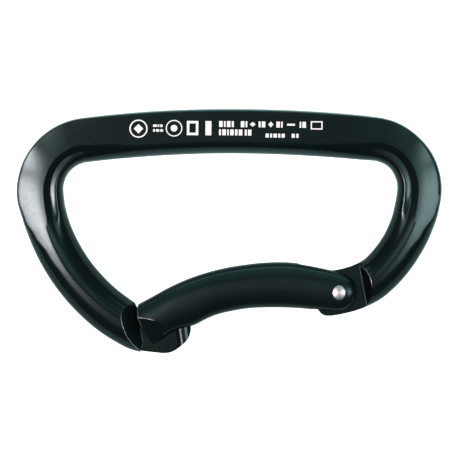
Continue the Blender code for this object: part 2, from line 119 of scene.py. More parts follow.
PIN = (27.93, -15.72)            # the rivet's axis
TANG_HALF, TANG_CORNER, TANG_EDGE = 2.2, 0.4, 0.25
CAM_BASE, CAM_START = 2.2, 4.0   # radius of its base circle, plunger's distance at rest
CAM_TURNS = (*range(-20, 44, 4), 44.5)    # gate angles (degrees) with a point on the cam
BORE_TILT = math.radians(-3.0)
TANG_UPPER = [(26.6, -10.08), (28.6, -9.72), (31.0, -9.0), (33.2, -8.05), (37.0, -8.6)]
TANG_LOWER = [(38.4, -15.8), (34.6, -19.45), (31.7, -20.45), (28.8, -21.15), (26.3, -21.6)]
LUG_CENTRE, LUG_RADIUS = (25.1, -19.0), 2.65
LUG_FROM, LUG_TO, LUG_STEPS = 265, 180, 10     # the lug's arc, in degrees
TANG_HEEL = [(22.75, -18.0), (24.2, -16.0)]
TANG_BORE_RADIUS, CHEEK_BORE_RADIUS = 1.57, 1.54
RIVET_RADIUS, RIVET_HEAD_RADIUS, RIVET_HALF = 1.5, 1.9, 5.3
# one end of the rivet: distance from the end, radius
RIVET_END = [(0.05, 0.02), (0.03, 0.10), (0.0, 0.18), (0.005, 0.3), (0.05, 0.7), (0.12, 1.15),
             (0.19, 1.5), (0.25, 1.68), (0.34, 1.79), (0.46, RIVET_HEAD_RADIUS),
             (1.0, RIVET_HEAD_RADIUS), (1.5, RIVET_RADIUS)]
RIVET_SIDES = 96
PIN_CUT = 6                       # half length of the cutters along the rivet's axis

# ---------------------------------------------------------------- gate, driving sizes (mm)
GATE_UPPER = [(-23.5, -18.9), (-21.5, -17.8), (-19.3, -16.6), (-15, -14.25), (-10.4, -12.2),
              (-5.7, -10.6), (-.9, -9.4), (4, -8.6), (9, -8.07), (14, -7.95), (17.2, -8.2),
              (20, -8.7), (23, -9.3), (26.1, -10.05), (28.6, -10.8), (30.6, -11.75),
              (31.8, -13.0), (32.45, -15.0)]
GATE_LOWER = [(-23.5, -31.6), (-19.4, -29.1), (-17.0, -27.45), (-13.97, -25.6),
              (-9.9, -24.4), (-8.6, -23.95), (-6, -22.6), (-3.2, -21.42), (.6, -20.47),
              (5.6, -19.72), (11.6, -19.54), (17.6, -19.72), (23.0, -20.2), (28.0, -20.45),
              (30.2, -19.75), (31.6, -18.4), (32.45, -16.4)]
# along X: half depth of the bar, then the power that makes its two sides steep
GATE_DEPTH = [(-24, 5.1), (16, 5.1), (28, 5.1), (29.3, 5.09), (30.0, 5.04), (30.7, 4.93),
              (31.3, 4.77), (31.8, 4.5), (32.15, 4.05), (32.45, 3.1)]
GATE_POWER = [(-14, .50), (2, .60), (16, .58), (22, .50), (27, .42), (31, .40), (32.45, .6)]
GATE_STEP, GATE_SIDES = 0.7, 96
GATE_END, GATE_END_STEPS = 3, 16      # the length at the hinge end that has finer steps
GATE_TIP = [(-22.55, -17.9), (-23.1, -18.95), (-23.2, -19.7), (-23.13, -22.2),
            (-21.5, -25.6), (-19.3, -28.85)]
TIP_CUT = [(-18.6, -33), (-40, -33), (-40, -8), (-22.4, -8)]      # round the outside of it
TIP_CORNER, TIP_SHARP, TIP_CUT_HALF = 0.5, (0, 5), 9.0
# the facet beside the tip: its height at the corner, its slope along its edge and inwards,
# and the extent of the block that cuts it
FACET = (4.69, -0.377, 0.43)
FACET_ALONG, FACET_ACROSS, FACET_TOP = (-6.0, 13.0), (-4.0, 11.0), 14.0
NOSE_SLOT_HALF = 1.9
KEY_POCKET_RADIUS, KEY_POCKET_SPAN = 2.65, (-0.45, 12)
NOSE_SLOT = [(-26.0, -16.0), (-22.6, -16.0), (-22.5, -19.7), (-20.6, -21.1), (-8.85, -20.0),
             (-8.85, -26.0), (-14.0, -33.0), (-26.0, -33.0)]
HINGE_SLOT_HALF, HINGE_SLOT_CORNER, HINGE_SLOT_SHARP = 2.45, 1.2, (0, 5, 6, 7)
HINGE_SLOT = [(16.9, -5.0), (16.9, -7.9), (18.6, -8.75), (19.8, -9.15), (21.3, -9.6),
              (21.3, -24.0), (36.0, -24.0), (36.0, -5.0)]
SINK_GAP, SINK_FLOOR, SINK_CONE = 0.06, 4.25, 0.4     # round each rivet head
BORE_RADIUS = 2.1
BORE_MOUTH, BORE_BOTTOM = 3, 26.6     # along its axis, from the cam's base circle
BORE_CONE, BORE_CONE_RADIUS = 1, 0.4  # at the bottom
PLUNGER_RADIUS, PLUNGER_LENGTH, PLUNGER_GAP = 2.02, 7.4, 0.02
PLUNGER_HEAD, TAIL_RADIUS = 4.8, 1.15
SPRING_RADIUS, WIRE_RADIUS, SPRING_TURNS = 1.62, 0.28, 9.5
SPRING_GAP = 0.05                 # between the coil and what it bears on
CLOSED_PITCH = 1.05               # of the turn at each end, in wire diameters
TURN_STEPS, WIRE_SIDES = 40, 12


# ---------------------------------------------------------------- mesh tools
def make_object(name, points, faces, smooth=True):
    """A mesh object with its origin at the frame's, from points in mm."""
    mesh = bpy.data.meshes.new(name)
    mesh.from_pydata([Vector(p) * MM for p in points], [], faces)
    shell = bmesh.new()
    shell.from_mesh(mesh)
    bmesh.ops.recalc_face_normals(shell, faces=shell.faces)
    shell.to_mesh(mesh)
    shell.free()
    mesh.polygons.foreach_set("use_smooth", [smooth] * len(mesh.polygons))
    made = bpy.data.objects.new(name, mesh)
    bpy.context.scene.collection.objects.link(made)
    return made


def combine(target, tools):
    """Apply exact Booleans of (object, operation) pairs in turn, and remove the tools."""
    for tool, operation in tools:
        step = target.modifiers.new(tool.name, 'BOOLEAN')
        step.operation, step.solver, step.object = operation, 'EXACT', tool
    bpy.context.view_layer.update()
    evaluated = target.evaluated_get(bpy.context.evaluated_depsgraph_get())
    mesh = bpy.data.meshes.new_from_object(evaluated)
    mesh.name = target.name
    target.modifiers.clear()
    old, target.data = target.data, mesh
    bpy.data.meshes.remove(old)
    for tool, _ in tools:
        bpy.data.objects.remove(tool, do_unlink=True)
    return target


def finish_mesh(piece, crease=CREASE):
    """Shade round faces smooth and keep real edges crisp."""
    piece.data.set_sharp_from_angle(angle=math.radians(crease))
    weighted = piece.modifiers.new("weighted_normals", 'WEIGHTED_NORMAL')
    weighted.keep_sharp = True
    return piece


def table_at(rows, x):
    """Read a table of rows (x, values...) at x with smooth steps between its rows."""
    if x <= rows[0][0]:
        return rows[0][1:]
    for low, high in zip(rows, rows[1:]):
        if x <= high[0]:
            t = (x - low[0]) / (high[0] - low[0])
            t = t * t * (3 - 2 * t)
            return tuple(a + (b - a) * t for a, b in zip(low[1:], high[1:]))
    return rows[-1][1:]


def curve_at(points, x):
    """The y of a smooth curve through points in rising x."""
    xs = [p[0] for p in points]
    ys = [p[1] for p in points]
    i = max(0, min(len(xs) - 2, sum(1 for v in xs[1:] if v <= x)))
    slopes = []
    for k in (i, i + 1):
        a, b = max(k - 1, 0), min(k + 1, len(xs) - 1)
        slopes.append((ys[b] - ys[a]) / (xs[b] - xs[a]))
    h = xs[i + 1] - xs[i]
    t = min(max((x - xs[i]) / h, 0.0), 1.0)
    return ((2 * t ** 3 - 3 * t ** 2 + 1) * ys[i] + (t ** 3 - 2 * t ** 2 + t) * h * slopes[0]
            + (3 * t ** 2 - 2 * t ** 3) * ys[i + 1] + (t ** 3 - t ** 2) * h * slopes[1])


def loft(rings):
    """Points and faces of a closed skin over rings of equal count."""
    count = len(rings[0])
    points = [p for ring in rings for p in ring]
    faces = [tuple(range(count))]
    for r in range(len(rings) - 1):
        for k in range(count):
            a, b = r * count + k, r * count + (k + 1) % count
            faces.append((b, a, a + count, b + count))
    last = (len(rings) - 1) * count
    faces.append(tuple(last + k for k in reversed(range(count))))
    return points, faces


def rounded(outline, radius, sharp=()):
    """Replace an outline's corners by arcs of about the radius, apart from the sharp ones."""
    made = []
    for i, here in enumerate(outline):
        before, after = Vector(outline[i - 1]), Vector(outline[(i + 1) % len(outline)])
        here = Vector(here)
        cut = min(radius, (here - before).length * 0.45, (after - here).length * 0.45)
        if i in sharp or cut < 1e-3:
            made.append(tuple(here))
            continue
        a = here + (before - here).normalized() * cut
        b = here + (after - here).normalized() * cut
        for k in range(CORNER_STEPS + 1):
            t = k / CORNER_STEPS
            made.append(tuple(a * (1 - t) ** 2 + here * 2 * t * (1 - t) + b * t * t))
    return made


def inset(outline, distance):
    """Move an anticlockwise outline's sides inwards."""
    if not distance:
        return outline
    made = []
    for before, here, after in zip(outline[-1:] + outline[:-1], outline,
                                   outline[1:] + outline[:1]):
        d1 = Vector((here[0] - before[0], here[1] - before[1])).normalized()
        d2 = Vector((after[0] - here[0], after[1] - here[1])).normalized()
        n = Vector((-d1.y - d2.y, d1.x + d2.x)).normalized()
        n /= max(0.5, n.dot(Vector((-d1.y, d1.x))))
        made.append((here[0] + n.x * distance, here[1] + n.y * distance))
    return made


def plate(outline, half, edge=0.0):
    """A flat plate of an outline about the mid-plane, with rounded-over edges."""
    area = sum(a[0] * b[1] - b[0] * a[1] for a, b in zip(outline, outline[1:] + outline[:1]))
    flat = list(outline) if area > 0 else list(outline)[::-1]
    levels = [(-half, 0.0), (half, 0.0)]
    if edge:
        turn = [edge * (1 - math.sin(math.radians(a))) for a in EDGE_ANGLES]
        rise = [edge * (1 - math.cos(math.radians(a))) for a in EDGE_ANGLES]
        levels = [(-half + r, t) for r, t in zip(rise, turn)]
        levels += [(half - r, t) for r, t in zip(rise[::-1], turn[::-1])]
    return loft([[(x, y, MID_Z + z) for x, y in inset(flat, d)] for z, d in levels])


def turned(start, end, profile, sides=64):
    """A solid of revolution: profile is (distance from start, radius) along start to end."""
    start, end = Vector(start), Vector(end)
    axis = (end - start).normalized()
    side = axis.orthogonal().normalized()
    up = axis.cross(side)
    rings = []
    for along, radius in profile:
        centre = start + axis * along
        rings.append([centre + radius * (side * math.cos(a) + up * math.sin(a))
                      for a in (2 * math.pi * k / sides for k in range(sides))])
    return loft(rings)


def shoulder_cutter(foot, half, rise, reach, keep_side):
    """A cutter that leaves sloped shoulders with a small fillet along their foot."""
    a, b = Vector((*foot[0], MID_Z)), Vector((*foot[1], MID_Z))
    along = (b - a).normalized()
    keep = Vector((0, 0, 1)).cross(along) * keep_side
    top = half + SLOPE_RUN * rise
    below, above = SHOULDER_FILLET, 0.6 * SHOULDER_FILLET
    bend = [(above * t * t - below * (1 - t) ** 2, half + above * rise * t * t)
            for t in (0.0, 0.2, 0.4, 0.6, 0.8, 1.0)]
    section = [*[(d, -z) for d, z in bend[::-1]], *bend, (SLOPE_RUN, top), (-CLEAR_RUN, top),
               (-CLEAR_RUN, -top), (SLOPE_RUN, -top)]
    rings = [[end + keep * d + Vector((0, 0, z)) for d, z in section]
             for end in (a - along * reach, b + along * reach)]
    return loft(rings)


def pin_cutter(name, profile):
    """A cutter round the rivet's axis, from rows of height above the mid-plane and radius."""
    start, end = (*PIN, MID_Z - PIN_CUT), (*PIN, MID_Z + PIN_CUT)
    return make_object(name, *turned(start, end, [(PIN_CUT + z, r) for z, r in profile]))


# ---------------------------------------------------------------- frame
def centre_line(arcs, side, distance):
    """Centre and outward normal angle (degrees) at a distance from the spine's middle."""
    x, y, turned_deg, left = 0.0, SPINE_Y, 0.0, distance
    for radius, degrees in arcs:
        part = min(left, radius * math.radians(degrees))
        angle = math.degrees(part / radius)
        a0, a1 = math.radians(turned_deg), math.radians(turned_deg + angle)
        x += -side * radius * (math.sin(a1) - math.sin(a0))
        y += radius * (math.cos(a1) - math.cos(a0))
        turned_deg += angle
        left -= part
        if left <= 1e-9:
            break
    return x, y, 90.0 + side * turned_deg


def inner_height(u, bead):
    """Height inside the flat, u from 0 at the flat to 1 at the edge: plain or beaded."""
    plain = max(0.0, 1 - u * u) ** INNER_POWER
    if u < VALLEY:
        beaded = 1 - DROP * u / VALLEY
    elif u < CREST:
        step = (1 - math.cos(math.pi * (u - VALLEY) / (CREST - VALLEY))) / 2
        beaded = 1 - DROP + RISE * step
    else:
        reach = (u - CREST) / (1 - CREST)
        beaded = (1 - DROP + RISE) * math.sqrt(max(0.0, 1 - reach * reach))
    return plain + (beaded - plain) * bead


def half_section(width, rounding, flat_end, bead, taper):
    """Offsets from the centre line (outwards) and half depths, from edge to edge."""
    n_round, n_flat, n_inner = SECTION_STEPS
    rows = []
    for k in range(n_round + 1):
        a = math.pi / 2 * k / n_round
        rows.append((rounding * (1 - math.cos(a)), math.sin(a) ** OUTER_POWER))
    for k in range(1, n_flat + 1):
        rows.append((rounding + (flat_end - rounding) * k / n_flat, 1.0))
    rows = [(t, h * (1 - taper * max(0.0, 1 - t / flat_end) ** TAPER_POWER)) for t, h in rows]
    for k in range(1, n_inner + 1):
        u = math.sin(math.pi / 2 * k / n_inner)
        rows.append((flat_end + (1 - flat_end) * u, inner_height(u, bead)))
    return [(width * (0.5 - t), HALF_DEPTH * h) for t, h in rows]


def section_ring(arcs, shapes, side, distance):
    """The bar's section at a distance from the spine's middle, as a ring of points."""
    x, y, normal = centre_line(arcs, side, distance)
    c, s = math.cos(math.radians(normal)), math.sin(math.radians(normal))
    half = half_section(*table_at(shapes, distance))
    top = [(x + c * d, y + s * d, MID_Z + h) for d, h in half]
    bottom = [(x + c * d, y + s * d, MID_Z - h) for d, h in half[-2:0:-1]]
    return top + bottom


def stations(arcs, steps):
    """Distances along the arcs, at about each arc's own step."""
    made, start = [], 0.0
    for (radius, degrees), step in zip(arcs, steps):
        length = radius * math.radians(degrees)
        count = max(1, round(length / step))
        made += [start + length * k / count for k in range(count)]
        start += length
    return made + [start]


def cam_point(turn):
    """A point of the tang's involute edge, for the gate turned open by an angle."""
    n, d = math.pi / 2 + BORE_TILT - turn, BORE_TILT - turn
    reach = CAM_START + CAM_BASE * turn
    return (PIN[0] + CAM_BASE * math.cos(n) - reach * math.cos(d),
            PIN[1] + CAM_BASE * math.sin(n) - reach * math.sin(d))


def tang_outline():
    """The tang's outline, clockwise: upper side, arm, lower side, lug, heel and cam."""
    turns = (math.radians(LUG_FROM + (LUG_TO - LUG_FROM) * k / LUG_STEPS)
             for k in range(LUG_STEPS + 1))
    lug = [(LUG_CENTRE[0] + LUG_RADIUS * math.cos(a), LUG_CENTRE[1] + LUG_RADIUS * math.sin(a))
           for a in turns]
    cam = [cam_point(math.radians(a)) for a in CAM_TURNS]
    return TANG_UPPER + TANG_LOWER + lug + TANG_HEEL + cam


def key_bar(start, end):
    """The nose's key: a bar along its axis with a broad top that leans a little."""
    along = (end - start).normalized()
    across = Vector((along.y, -along.x, 0.0))
    lean = math.tan(KEY_LEAN)
    rings = []
    for spot in (start - along * KEY_OVERRUN[0], end + along * KEY_OVERRUN[1]):
        ring = []
        for k in range(KEY_SIDES):
            a = 2 * math.pi * k / KEY_SIDES
            c, h = math.cos(a), math.sin(a)
            flat = KEY_RADIUS * math.copysign(abs(h) ** KEY_POWER, h)
            rise = flat * (1 + lean * c)
            ring.append(spot + across * (KEY_RADIUS * c) + Vector((0, 0, rise)))
        rings.append(ring)
    return loft(rings)


def build_frame():
    """The lofted bar, cut to its shoulders, with the nose tongue, the key and the tang."""
    left = stations(LEFT_ARCS, (SPINE_STEP, BEND_STEP, ARM_STEP, BEND_STEP, ARM_STEP))
    right = stations(RIGHT_ARCS, (SPINE_STEP, BEND_STEP, ARM_STEP, BEND_STEP))
    rings = [section_ring(LEFT_ARCS, LEFT_SHAPE, 1, d) for d in reversed(left)]
    rings += [section_ring(RIGHT_ARCS, RIGHT_SHAPE, -1, d) for d in right[1:]]
    body = make_object("frame_forging", *loft(rings))

    start, end = (Vector((*p, MID_Z)) for p in KEY_AXIS)
    key = make_object("key", *key_bar(start, end))
    tongue = rounded(TONGUE, TONGUE_CORNER, TONGUE_SHARP)
    tang = rounded(tang_outline(), TANG_CORNER)
    combine(key, [(make_object("key_trim", *plate(tongue, KEY_TRIM_HALF, KEY_EDGE)),
                   'INTERSECT')])
    nose_cut = shoulder_cutter(NOSE_FOOT, TONGUE_HALF, NOSE_RISE, NOSE_REACH, -1)
    hinge_cut = shoulder_cutter(HINGE_FOOT, TANG_HALF, HINGE_RISE, HINGE_REACH, 1)
    bore = [(-PIN_CUT, TANG_BORE_RADIUS), (PIN_CUT, TANG_BORE_RADIUS)]
    return combine(body, [
        (make_object("nose_cut", *nose_cut, False), 'DIFFERENCE'),
        (make_object("hinge_cut", *hinge_cut, False), 'DIFFERENCE'),
        (make_object("tongue", *plate(tongue, TONGUE_HALF, TONGUE_EDGE), False), 'UNION'),
        (key, 'UNION'),
        (make_object("tang", *plate(tang, TANG_HALF, TANG_EDGE), False), 'UNION'),
        (pin_cutter("bore", bore), 'DIFFERENCE')])


# ---------------------------------------------------------------- gate
def gate_ring(x):
    """The gate bar's section at x, as a ring of points."""
    upper, lower = curve_at(GATE_UPPER, x), curve_at(GATE_LOWER, x)
    depth, power = curve_at(GATE_DEPTH, x), table_at(GATE_POWER, x)[0]
    middle, half = (upper + lower) / 2, (upper - lower) / 2
    ring = []
    for k in range(GATE_SIDES):
        a = 2 * math.pi * k / GATE_SIDES
        c, s = math.cos(a), math.sin(a)
        ring.append((x, middle + half * s, MID_Z + depth * math.copysign(abs(c) ** power, c)))
    return ring


def facet_block(side):
    """A block whose sloped floor cuts the facet beside the gate's tip, front or back."""
    corner, tip = Vector(GATE_TIP[3]), Vector(GATE_TIP[5])
    along = (tip - corner).normalized()
    inwards = Vector((-along.y, along.x))
    rings = []
    near, far = FACET_ACROSS
    for a in FACET_ALONG:
        ring = []
        for d, height in ((near, None), (far, None), (far, FACET_TOP), (near, FACET_TOP)):
            z = height if height else FACET[0] + FACET[1] * a + FACET[2] * d
            spot = corner + along * a + inwards * d
            ring.append((spot.x, spot.y, MID_Z + side * z))
        rings.append(ring)
    return loft(rings)


def bore_frame():
    """Where the bore's axis touches the cam's base circle, and its direction inwards."""
    n, d = math.pi / 2 + BORE_TILT, BORE_TILT
    tangent = Vector((PIN[0] + CAM_BASE * math.cos(n), PIN[1] + CAM_BASE * math.sin(n), MID_Z))
    return tangent, Vector((-math.cos(d), -math.sin(d), 0.0))


def build_gate():
    """The lofted bar, with its tip, facets, key pocket, slots and bores cut."""
    first, last = GATE_UPPER[0][0], GATE_UPPER[-1][0]
    count = round((last - GATE_END - first) / GATE_STEP)
    xs = [first + (last - GATE_END - first) * k / count for k in range(count)]
    xs += [last - GATE_END * math.cos(math.pi / 2 * k / GATE_END_STEPS)
           for k in range(GATE_END_STEPS + 1)]
    gate = make_object("gate_bar", *loft([gate_ring(x) for x in xs]))

    tip = [*rounded(GATE_TIP, TIP_CORNER, TIP_SHARP), *TIP_CUT]
    hinge_slot = rounded(HINGE_SLOT, HINGE_SLOT_CORNER, HINGE_SLOT_SHARP)
    key_start, key_end = (Vector((*p, MID_Z)) for p in KEY_AXIS)
    key_pocket = turned(key_start, key_end, [(d, KEY_POCKET_RADIUS) for d in KEY_POCKET_SPAN])
    tangent, inwards = bore_frame()
    depth = BORE_BOTTOM - BORE_MOUTH
    bore = turned(tangent + inwards * BORE_MOUTH, tangent + inwards * BORE_BOTTOM, [
        (0, BORE_RADIUS), (depth - BORE_CONE, BORE_RADIUS), (depth, BORE_CONE_RADIUS)])
    sink = RIVET_HEAD_RADIUS + SINK_GAP
    floor, wall = (SINK_FLOOR, sink), (SINK_FLOOR - SINK_CONE, CHEEK_BORE_RADIUS)
    upper_half = [wall, floor, (PIN_CUT, sink)]
    rivet_bore = [(-z, r) for z, r in upper_half[::-1]] + upper_half
    return combine(gate, [
        (make_object("end_cut", *plate(tip, TIP_CUT_HALF), False), 'DIFFERENCE'),
        (make_object("facet_front", *facet_block(1), False), 'DIFFERENCE'),
        (make_object("facet_back", *facet_block(-1), False), 'DIFFERENCE'),
        (make_object("nose_slot", *plate(NOSE_SLOT, NOSE_SLOT_HALF), False), 'DIFFERENCE'),
        (make_object("key_pocket", *key_pocket), 'DIFFERENCE'),
        (make_object("hinge_slot", *plate(hinge_slot, HINGE_SLOT_HALF), False), 'DIFFERENCE'),
        (make_object("bore", *bore), 'DIFFERENCE'),
        (pin_cutter("rivet_bore", rivet_bore), 'DIFFERENCE')])


# ---------------------------------------------------------------- rivet, spring, plunger
def build_rivet():
    """The rivet, with each end peened to a shallow cone round a small punch mark."""
    length = 2 * RIVET_HALF
    profile = RIVET_END + [(length - along, radius) for along, radius in reversed(RIVET_END)]
    start, end = (*PIN, MID_Z - RIVET_HALF), (*PIN, MID_Z + RIVET_HALF)
    return make_object("rivet_peened", *turned(start, end, profile, RIVET_SIDES))


def build_plunger():
    """The plunger: a head with rounded rims that slides in the bore, and a thinner tail."""
    tangent, inwards = bore_frame()
    face = tangent + inwards * (CAM_START + PLUNGER_GAP)
    r, head, end = PLUNGER_RADIUS, PLUNGER_HEAD, PLUNGER_LENGTH
    return make_object("plunger_turned", *turned(face, face + inwards * end, [
        (0, 0.05), (0, r - 0.35), (0.08, r - 0.16), (0.2, r - 0.05), (0.35, r),
        (head - 0.2, r), (head - 0.08, r - 0.12), (head, TAIL_RADIUS + 0.2),
        (head + 0.05, TAIL_RADIUS), (end - 0.3, TAIL_RADIUS), (end, TAIL_RADIUS - 0.3),
        (end, 0.05)]))


def build_spring():
    """A coil of round wire between the plunger's head and the bore's bottom."""
    tangent, inwards = bore_frame()
    seat = WIRE_RADIUS + SPRING_GAP
    start = tangent + inwards * (CAM_START + PLUNGER_GAP + PLUNGER_HEAD + seat)
    length = BORE_BOTTOM - BORE_CONE - (start - tangent).length - seat
    side = Vector((0, 0, 1))
    up = inwards.cross(side)
    closed = CLOSED_PITCH * 2 * WIRE_RADIUS
    free = (length - 2 * closed) / (SPRING_TURNS - 2)
    rings, steps = [], round(SPRING_TURNS * TURN_STEPS)
    for k in range(steps + 1):
        turn = SPRING_TURNS * k / steps
        along = (closed * min(turn, 1) + free * min(max(turn - 1, 0), SPRING_TURNS - 2)
                 + closed * max(turn - (SPRING_TURNS - 1), 0))
        out = side * math.cos(2 * math.pi * turn) + up * math.sin(2 * math.pi * turn)
        centre = start + inwards * along + out * SPRING_RADIUS
        rings.append([centre + WIRE_RADIUS * (out * math.cos(a) + inwards * math.sin(a))
                      for a in (2 * math.pi * j / WIRE_SIDES for j in range(WIRE_SIDES))])
    return make_object("spring_coil", *loft(rings))


# ---------------------------------------------------------------- laser marks on the spine
MARK_RISE, MARK_SINK = 0.012, 0.02
MARK_TILT, MARK_PIVOT = math.radians(-0.6), 25.5     # the rows fall towards the hinge end
DISC_STEPS = 40
EMBLEM_Y, UPPER_Y, LOWER_Y, SMALL_Y = 25.9, 27.0, 24.9, 24.2      # middles of the rows
EMBLEM_TALL, TALL, SMALL_TALL, TINY_TALL = 3.6, 1.5, 1.0, 0.62    # heights of their blocks
GAP, WIDE_GAP, TINY_GAP = 0.30, 0.34, 0.25


class Marks:
    """Collects flat thin shapes on the spine's front face, in mm."""

    def __init__(self):
        self.points, self.faces = [], []

    def band(self, outer, inner=None):
        """A filled outline, or the band between two outlines of equal length."""
        base, n = len(self.points), len(outer)
        top, low = HIGH.z + MARK_RISE, HIGH.z - MARK_SINK
        loops = [(outer, top), (outer, low)] + ([(inner, top), (inner, low)] if inner else [])
        for loop, z in loops:
            self.points += [(x, y, z) for x, y in loop]
        for k in range(n):
            j = (k + 1) % n
            self.faces.append((base + k, base + j, base + n + j, base + n + k))
            if inner:
                i = base + 2 * n
                self.faces.append((i + j, i + k, i + n + k, i + n + j))
                self.faces.append((base + j, base + k, i + k, i + j))
                self.faces.append((base + n + k, base + n + j, i + n + j, i + n + k))
        if not inner:
            self.faces.append(tuple(base + k for k in reversed(range(n))))
            self.faces.append(tuple(base + n + k for k in range(n)))

    def disc(self, x, y, radius, hole=0.0):
        """A disc, or a ring if the hole has a radius."""
        ring = [(math.cos(2 * math.pi * k / DISC_STEPS), math.sin(2 * math.pi * k / DISC_STEPS))
                for k in range(DISC_STEPS)]
        outer = [(x + radius * c, y + radius * s) for c, s in ring]
        inner = [(x + hole * c, y + hole * s) for c, s in ring]
        self.band(outer, inner if hole else None)

    def bar(self, x, y, width, height):
        """A plain block round a centre."""
        self.band(self.corners(x, y, width, height))

    def diamond(self, x, y, width, height):
        """A diamond round a centre."""
        self.band([(x - width / 2, y), (x, y - height / 2), (x + width / 2, y),
                   (x, y + height / 2)])

    def box(self, x, y, width, height, line):
        """The outline of a box, as wide as the line inwards."""
        self.band(self.corners(x, y, width, height),
                  self.corners(x, y, width - 2 * line, height - 2 * line))

    @staticmethod
    def corners(x, y, width, height):
        """The corners of a block, anticlockwise."""
        left, right = x - width / 2, x + width / 2
        low, high = y - height / 2, y + height / 2
        return [(left, low), (right, low), (right, high), (left, high)]

    def row(self, x, y, widths, height, gap):
        """A row of plain blocks where a line of small text would be."""
        for width in widths:
            self.bar(x + width / 2, y, width, height)
            x += width + gap


def build_marks():
    """Plain rings, diamonds, boxes and blocks in two rows, with no lettering."""
    marks = Marks()
    marks.disc(-22.9, 25.6, 2.3, 1.98)
    marks.diamond(-22.9, 25.6, 2.4, 2.4)
    marks.row(-19.2, 26.4, (0.9, 0.4, 0.6), TINY_TALL, TINY_GAP)
    marks.row(-19.2, 25.2, (0.5, 0.8, 0.7), TINY_TALL, TINY_GAP)
    marks.disc(-13.9, 25.8, 2.1, 1.84)
    marks.disc(-13.9, 25.8, 0.85)
    marks.box(-9.2, EMBLEM_Y, 2.9, EMBLEM_TALL, 0.62)
    marks.bar(-5.2, EMBLEM_Y, 1.5, EMBLEM_TALL)

    marks.row(-2.5, UPPER_Y, (0.9, 0.4, 0.9, 0.5), TALL, WIDE_GAP)
    marks.row(3.0, UPPER_Y, (0.9, 0.45), TALL, GAP)
    marks.diamond(6.0, UPPER_Y, 1.5, 1.2)
    marks.row(7.5, UPPER_Y, (0.5, 0.9), TALL, GAP)
    marks.diamond(10.6, UPPER_Y, 1.3, 1.5)
    marks.row(12.0, UPPER_Y, (0.9, 0.4), TALL, GAP)
    marks.bar(15.7, UPPER_Y, 2.0, 0.5)
    marks.row(17.9, UPPER_Y, (0.4, 0.9), TALL, GAP)
    marks.box(22.2, 26.9, 3.0, 2.1, 0.3)

    marks.row(-2.5, LOWER_Y, (0.5, 0.9, 0.4, 0.9, 0.6, 0.9), TALL, WIDE_GAP)
    marks.row(4.0, LOWER_Y, (0.5, 0.9), TALL, GAP)
    marks.row(9.3, SMALL_Y, (0.8, 0.5, 0.9, 0.5, 0.8), SMALL_TALL, WIDE_GAP)
    marks.row(15.9, SMALL_Y, (0.8, 0.6), SMALL_TALL, WIDE_GAP)
    c, s = math.cos(MARK_TILT), math.sin(MARK_TILT)
    tilted = [(c * x - s * (y - MARK_PIVOT), MARK_PIVOT + s * x + c * (y - MARK_PIVOT), z)
              for x, y, z in marks.points]
    return make_object("spine_marks", tilted, marks.faces, smooth=False)


# ---------------------------------------------------------------- materials
FORGING_BLACK, GATE_BLACK = (0.0130, 0.0208, 0.0211), (0.0123, 0.0196, 0.0200)
# bare metal on a few milled edges: partly real wear, partly a painted glint
WORN_GLINT_METAL = (0.70, 0.79, 0.84)
GRAZING_TINT = (0.28, 0.46, 0.46, 1.0)    # of what the black reflects at low angles
EDGE_BAND = 0.00022               # m, how far an edge's wear and painted glint reach
# centre and radius (mm) of the places where milled edges show bare metal: partly real wear,
# partly a painted glint where those edges catch the light
FRAME_WEAR_AND_GLINT = [((34.9, -11.3, 10.6), 3.6), ((-28.0, -23.5, 10.4), 5.2),
              ((-24.9, -28.6, 8.5), 3.6)]
GATE_WEAR_AND_GLINT = [((-21.6, -22.1, 10.4), 3.0)]


